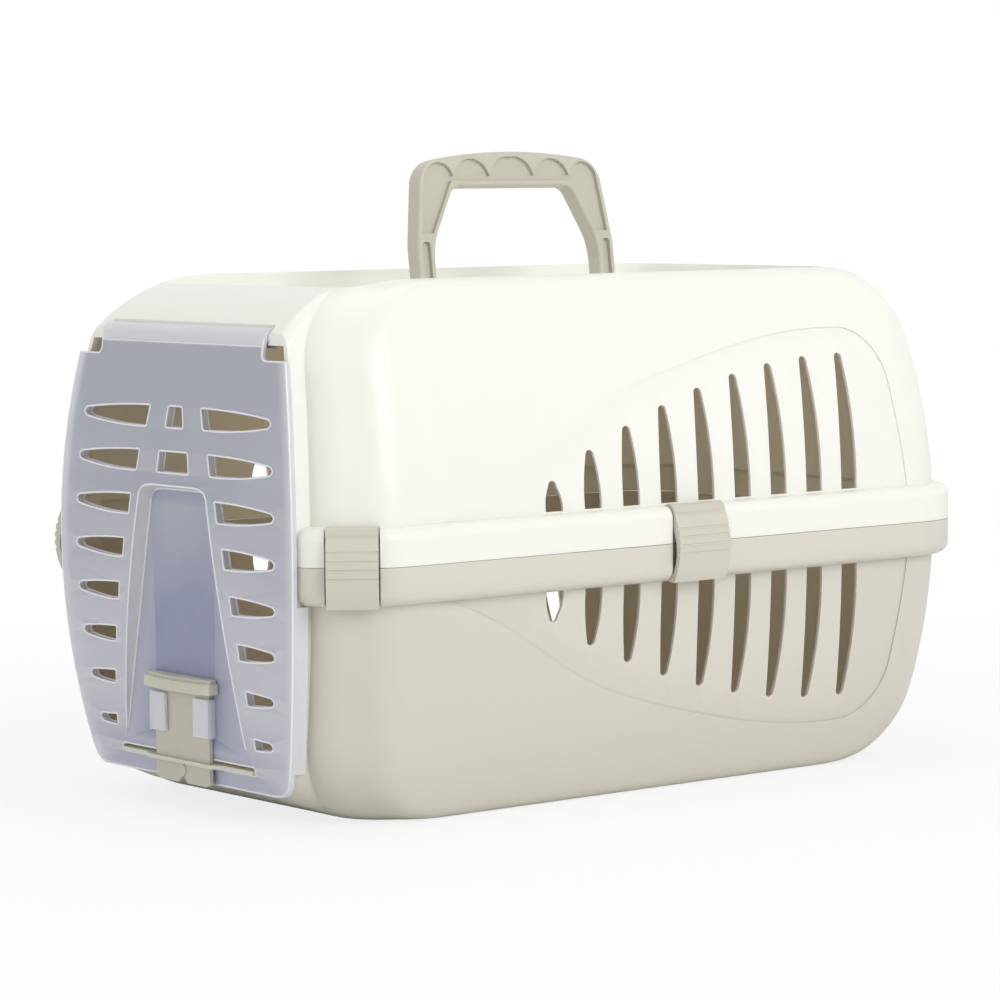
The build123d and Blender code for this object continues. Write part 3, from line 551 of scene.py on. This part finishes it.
@dataclass
class Door:
    """The frosted door, with thin beads along its rims painted near white as highlights.

    Attributes:
        front: Where the middle of the face stands.
        mid_height: The height of that middle.
        face_radius: Radius of the face's bow.
        half_width: Half width at that height.
        side_radius: Radius of the sides' bow.
        row_count: How many rows of slots there are on each side.
        row_pitch: Height from one row to the next.
        row_top: Height of the top row's middle.
        inner_start, inner_step, inner_bend: Where the slots' inner ends stand, the change from
            row to row, and how that change falls off.
        slot_half, slot_half_fall: Half a slot's height at the top row, and what it loses.
        lean, lean_fall: The slant of a slot's inner end at the top row, and what it loses.
        slot_margin: From a slot's tip to the door's side.
        nose: Radius of a slot's blunt tip.
        upper_belly, lower_belly: A slot's height halfway, as shares of its inner half height.
        window_count: How many middle windows there are.
        window_half, window_step: Half width of the top window, and what each next one gains.
        window_rise: Half a window's height.
        window_slant: The slant of a window's sides.
        corner: Rounding of the openings' corners.
        rim: Radius of the beads painted near white as highlights.
        rim_sink: How deep a bead lies in the face, as a share of its radius.
        border_inset: How far the border's bead lies in from the edge, as such a share.
        fold_share: Radius of the fold's bead, as such a share.
        collar: How deep the openings' collars reach.
        low: Height of the door's foot.
        shoulder: Height of its shoulders beside the hinge tongue.
        low_corner: Rounding of its lower corners.
        side_steps: How many steps the border takes up one side.
        tongue_half: Half width of the hinge tongue.
        root: Rounding at the tongue's root.
        root_steps: How many steps the border takes round that root.
        crest: Height of the tongue's top edge.
        fold: Height of the tongue's fold.
        panel_top, panel_low: Heights of the let-in panel's top and foot.
        panel_top_half, panel_low_half: Half widths there.
        panel_corner: Rounding of its corners.
        panel_draft: Slope of its walls.
        panel_steps: How many steps its edge takes up one side.
        panel_trim: How far above the foot that edge starts.
        sill_half, sill_low, sill_high: Half width and heights of the sill tongue's slot.
    """

    front: float = -240 * MM
    mid_height: float = 148 * MM
    face_radius: float = 833 * MM
    half_width: float = 114.5 * MM
    side_radius: float = 425 * MM
    row_count: int = 8
    row_pitch: float = 25 * MM
    row_top: float = 220.5 * MM
    inner_start: float = 26.2 * MM
    inner_step: float = 8.9 * MM
    inner_bend: float = 0.42 * MM
    slot_half: float = 6.1 * MM
    slot_half_fall: float = 0.055 * MM
    lean: float = 1.6 * MM
    lean_fall: float = 0.2 * MM
    slot_margin: float = 16.5 * MM
    nose: float = 2.6 * MM
    upper_belly: float = 0.84
    lower_belly: float = 0.92
    window_count: int = 2
    window_half: float = 9 * MM
    window_step: float = 7 * MM
    window_rise: float = 6.1 * MM
    window_slant: float = 2 * MM
    corner: float = 1.6 * MM
    rim: float = 0.6 * MM
    rim_sink: float = 0.4
    border_inset: float = 0.6
    fold_share: float = 0.6
    collar: float = 4.8 * MM
    low: float = 18 * MM
    shoulder: float = 254 * MM
    low_corner: float = 12 * MM
    side_steps: int = 20
    tongue_half: float = 79 * MM
    root: float = 3 * MM
    root_steps: int = 4
    crest: float = 265.5 * MM
    fold: float = 261.5 * MM
    panel_top: float = 180 * MM
    panel_low: float = 36 * MM
    panel_top_half: float = 30 * MM
    panel_low_half: float = 60 * MM
    panel_corner: float = 12 * MM
    panel_draft: float = radians(20)
    panel_steps: int = 12
    panel_trim: float = 4 * MM
    sill_half: float = 65.7 * MM
    sill_low: float = 27.5 * MM
    sill_high: float = 32.5 * MM

    def face(self, height: float) -> float:
        """Returns where the door's front face stands at a height."""
        rise = height - self.mid_height
        return self.front + self.face_radius - sqrt(self.face_radius**2 - rise**2)

    def edge(self, height: float) -> float:
        """Returns the door's half width at a height."""
        rise = height - self.mid_height
        return self.half_width - (self.side_radius - sqrt(self.side_radius**2 - rise**2))

    def slot(self, row: int, side: int) -> list[Point]:
        """Draws the outline of one blunt-nosed slot.

        Args:
            row: The row, counted from the top.
            side: The sign of x.

        Returns:
            The outline's points as x and z.
        """
        level = self.row_top - row * self.row_pitch
        inner = self.inner_start + self.inner_step * row - self.inner_bend * row**2
        half = self.slot_half - self.slot_half_fall * row**2
        lean = self.lean - self.lean_fall * row
        tip = self.edge(level) - self.slot_margin
        nose = tip - self.nose
        belly = (inner + nose) / 2
        head, foot = (inner - lean, level + half), (inner + lean, level - half)
        over, under = (nose, level + self.nose), (nose, level - self.nose)
        top = arc_points(head, (belly, level + half * self.upper_belly), over)
        end = arc_points(over, (tip, level), under)
        low = arc_points(under, (belly, level - half * self.lower_belly), foot)
        return [(side * x, z) for x, z in soften(top + end + low + [foot], self.corner)]

    def window(self, row: int) -> list[Point]:
        """Draws the outline of one middle window as x and z points."""
        level = self.row_top - row * self.row_pitch
        half = self.window_half + self.window_step * row
        right = [(half, level - self.window_rise),
                 (half - self.window_slant, level + self.window_rise)]
        return soften(right + mirror(right), self.corner)

    def sill_slot(self) -> list[Point]:
        """Draws the outline of the long slot for the sill tongue as x and z points."""
        right = [(self.sill_half, self.sill_low), (self.sill_half, self.sill_high)]
        return soften(right + mirror(right), self.corner)

    def border(self) -> list[Point]:
        """Draws the door's own outline from one end of the hinge tongue to the other."""
        inset = self.rim * self.border_inset
        climb = self.shoulder - self.low - 2 * inset
        steps = range(self.side_steps + 1)
        levels = [self.low + inset + climb * step / self.side_steps for step in steps]
        right = [(self.edge(z) - inset, z) for z in levels]
        left = mirror(right)
        # The two middle ones of these four points are the lower corners, with four points each.
        heel = soften([left[-3], left[-1], right[0], right[2]], self.low_corner)[4:12]
        root = (self.tongue_half - inset, self.shoulder + self.root)
        reach = (self.tongue_half + self.root, self.shoulder - inset)
        halfway = ((root[0] * 2 + reach[0]) / 3, (root[1] + reach[1] * 2) / 3)
        turn = arc_points(root, halfway, reach, self.root_steps)
        half = [(self.tongue_half - inset, self.crest)] + turn + [reach]
        mirrored = [(-x, z) for x, z in half]
        return mirrored + left[:-2] + heel + right[2:] + half[::-1]

    def panel(self, raised: bool) -> list[Vector]:
        """Draws one edge of the panel that is let into the door.

        Args:
            raised: Whether it is the edge on the face and not the one on the panel's floor.

        Returns:
            The points in space, from foot to foot over the top.
        """
        floor = self.face(self.panel_low)
        spread = tan(self.panel_draft) if raised else 0.0
        taper = (self.panel_top_half - self.panel_low_half) / (self.panel_top - self.panel_low)
        climb = self.panel_top + (floor - self.face(self.panel_top)) * spread - self.panel_low
        rises = [climb * step / self.panel_steps for step in range(self.panel_steps + 1)]
        right = []
        for rise in rises:
            height = self.panel_low + rise
            flare = (floor - self.face(height)) * spread
            right.append((self.panel_low_half + taper * rise + flare, height))
        outline = soften(right + mirror(right), self.panel_corner)
        start = self.panel_low + self.panel_trim
        return [Vector((x, self.face(z) if raised else floor, z)) for x, z in outline if z > start]

    def on_face(self, outline: list[Point], sink: float) -> list[Vector]:
        """Lays an outline on the door's bowed face.

        Args:
            outline: Points as x and z.
            sink: How deep they lie in the face.

        Returns:
            The points in space.
        """
        return [Vector((x, self.face(z) + sink, z)) for x, z in outline]

    def build(self, wardrobe: Wardrobe, nodes: dict[str, bpy.types.Object]) -> None:
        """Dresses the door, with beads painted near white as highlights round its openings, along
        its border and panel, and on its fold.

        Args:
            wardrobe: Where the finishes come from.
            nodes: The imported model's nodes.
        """
        wardrobe.dress(nodes["door"], FROST)
        outlines = [self.slot(row, side) for row in range(self.row_count) for side in (-1, 1)]
        outlines += [self.window(row) for row in range(self.window_count)]
        sink = self.rim * self.rim_sink
        outer = [self.on_face(outline, sink) for outline in outlines + [self.sill_slot()]]
        inner = [self.on_face(outline, self.collar) for outline in outlines]
        crease = [(-self.tongue_half, self.fold), (self.tongue_half, self.fold)]
        fold = self.on_face(crease, 0.0)
        lines = [self.on_face(self.border(), sink), self.panel(True), self.panel(False)]
        # These beads are painted highlights: near-white lines along the openings' rims, the
        # border, the panel's edges and the tongue's fold.
        pieces = (
            bead("slot_rim_highlights", outer, self.rim),
            bead("collar_rim_highlights", inner, self.rim),
            bead("door_border_highlight", lines, self.rim, closed=False),
            bead("tongue_fold_highlight", [fold], self.rim * self.fold_share, closed=False),
        )
        for piece in pieces:
            wardrobe.dress(piece, FROST_HIGHLIGHT)
            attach(piece, "door")
        log.info("door dressed, %d opening rims", len(outer))


@dataclass
class Fittings:
    """The handle, the latch and the clips, all in one sand-coloured plastic."""

    finish: Plastic = SAND

    def build(self, wardrobe: Wardrobe, nodes: dict[str, bpy.types.Object]) -> None:
        """Dresses the fittings.

        Args:
            wardrobe: Where the finishes come from.
            nodes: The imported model's nodes.
        """
        for name, node in nodes.items():
            if name.startswith("clip_") or name in ("handle", "latch"):
                wardrobe.dress(node, self.finish)
        log.info("fittings dressed")


@dataclass
class Studio:
    """The floor, the lamps, the world and the camera.

    Attributes:
        place: Where the camera stands.
        turn: Its direction round the carrier, in degrees.
        tilt: How far it looks down, in degrees.
        roll: How far it leans, in degrees.
        lens: Its focal length in millimetres.
        sensor: Its sensor's width in millimetres.
        sight: How far it sees.
        aim: What the lamps point at.
        cabin_power: Power of the weak light inside, in watts.
        cabin_colour: Its colour.
        cabin_place: Where it hangs.
        cabin_softness: Its radius.
        floor_reach: How far the floor goes from the middle.
        floor_colour: The floor's own colour.
        floor_roughness: How dull the floor is.
        floor_share: How much of the floor shows as plain white under the carrier.
        shadow_reach: Where the floor's shading starts to fade, and where it has gone.
        room_light: Strength of the world's light on surfaces, and as the camera sees it.
        white: The colour of the world.
    """

    place: tuple[float, float, float] = (1.7518, -1.4021, 0.3480)
    turn: float = 51.49
    tilt: float = 4.77
    roll: float = -0.53
    lens: float = 137.13
    sensor: float = 36.0
    sight: float = 50.0
    aim: tuple[float, float, float] = (0.0, 0.0, 0.15)
    cabin_power: float = 0.16
    cabin_colour: Colour = (1.0, 0.72, 0.44)
    cabin_place: tuple[float, float, float] = (0.0, 0.0, 0.22)
    cabin_softness: float = 90 * MM
    floor_reach: float = 12.0
    floor_colour: Colour = (0.9, 0.9, 0.9)
    floor_roughness: float = 0.8
    floor_share: float = 0.8
    shadow_reach: Span = (0.3, 0.9)
    room_light: Span = (0.55, 1.0)
    white: Colour = (1.0, 1.0, 1.0)

    def camera(self) -> None:
        """Stands the camera where the photograph was taken from."""
        turn, tilt, roll = radians(self.turn), radians(self.tilt), radians(self.roll)
        back = Vector((sin(turn) * cos(tilt), -cos(turn) * cos(tilt), sin(tilt)))
        right = Vector((cos(turn), sin(turn), 0))
        up = back.cross(right)
        across = cos(roll) * right + sin(roll) * up
        upward = -sin(roll) * right + cos(roll) * up
        data = bpy.data.cameras.new("camera")
        data.lens = self.lens
        data.sensor_width = self.sensor
        data.clip_end = self.sight
        axes = Matrix((across, upward, back)).transposed().to_4x4()
        seat = put_in_scene("camera", data)
        seat.matrix_world = Matrix.Translation(self.place) @ axes
        bpy.context.scene.camera = seat

    def hang(self, lamp: Lamp) -> None:
        """Hangs one soft square lamp that faces the carrier.

        Args:
            lamp: Which lamp.
        """
        name, place, size, power = lamp.value
        data = bpy.data.lights.new(name, "AREA")
        data.size = size
        data.energy = power
        body = put_in_scene(name, data)
        body.location = place
        beam = Vector(self.aim) - Vector(place)
        body.rotation_euler = beam.to_track_quat("-Z", "Y").to_euler()

    def glow(self) -> None:
        """Puts a weak warm light in the cabin, for the daylight its thin walls let through."""
        data = bpy.data.lights.new("cabin_glow", "POINT")
        data.energy = self.cabin_power
        data.color = self.cabin_colour
        data.shadow_soft_size = self.cabin_softness
        put_in_scene("cabin_glow", data).location = self.cabin_place

    def floor(self) -> None:
        """Lays the pale floor, which shows white to the camera and keeps the shadow."""
        mesh = bpy.data.meshes.new("floor")
        reach = self.floor_reach
        corners = [(-reach, -reach, 0), (reach, -reach, 0), (reach, reach, 0), (-reach, reach, 0)]
        mesh.from_pydata(corners, [], [(0, 1, 2, 3)])
        floor = put_in_scene("floor", mesh)
        paint = bpy.data.materials.new("floor_paint")
        paint.use_nodes = True
        tree = paint.node_tree
        surface = tree.nodes["Principled BSDF"]
        surface.inputs["Base Color"].default_value = (*self.floor_colour, 1)
        surface.inputs["Roughness"].default_value = self.floor_roughness
        path = tree.nodes.new("ShaderNodeLightPath").outputs
        place = tree.nodes.new("ShaderNodeTexCoord")
        far = tree.nodes.new("ShaderNodeVectorMath")
        far.operation = "LENGTH"
        tree.links.new(place.outputs["Object"], far.inputs[0])
        seen = sum_node(tree, "MAXIMUM", path["Is Camera Ray"], path["Is Transmission Ray"])
        share = ramp_node(tree, far.outputs["Value"], self.shadow_reach, (self.floor_share, 1.0))
        white = tree.nodes.new("ShaderNodeEmission")
        white.inputs["Strength"].default_value = 1.0
        mix = tree.nodes.new("ShaderNodeMixShader")
        tree.links.new(sum_node(tree, "MULTIPLY", seen, share), mix.inputs["Fac"])
        tree.links.new(surface.outputs["BSDF"], mix.inputs[1])
        tree.links.new(white.outputs["Emission"], mix.inputs[2])
        tree.links.new(mix.outputs["Shader"], tree.nodes["Material Output"].inputs["Surface"])
        mesh.materials.append(paint)

    def world(self) -> None:
        """Fills the room with even light, white to the camera."""
        room = bpy.data.worlds.new("room")
        room.use_nodes = True
        tree = room.node_tree
        path = tree.nodes.new("ShaderNodeLightPath").outputs
        seen = sum_node(tree, "MAXIMUM", path["Is Camera Ray"], path["Is Glossy Ray"])
        either = sum_node(tree, "MAXIMUM", seen, path["Is Transmission Ray"])
        background = tree.nodes["Background"]
        background.inputs["Color"].default_value = (*self.white, 1)
        level = ramp_node(tree, either, result=self.room_light)
        tree.links.new(level, background.inputs["Strength"])
        bpy.context.scene.world = room

    def build(self) -> None:
        """Sets up the whole studio."""
        bpy.context.scene.view_settings.view_transform = "Standard"
        self.world()
        self.floor()
        for lamp in Lamp:
            self.hang(lamp)
        self.glow()
        self.camera()
        log.info("studio ready")


def main() -> None:
    """Builds the dressed carrier in its studio."""
    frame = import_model()
    wardrobe = Wardrobe()
    nodes = frame["nodes"]
    Shells().build(wardrobe, nodes)
    Door().build(wardrobe, nodes)
    Fittings().build(wardrobe, nodes)
    Studio().build()


if __name__ == "__main__":
    main()
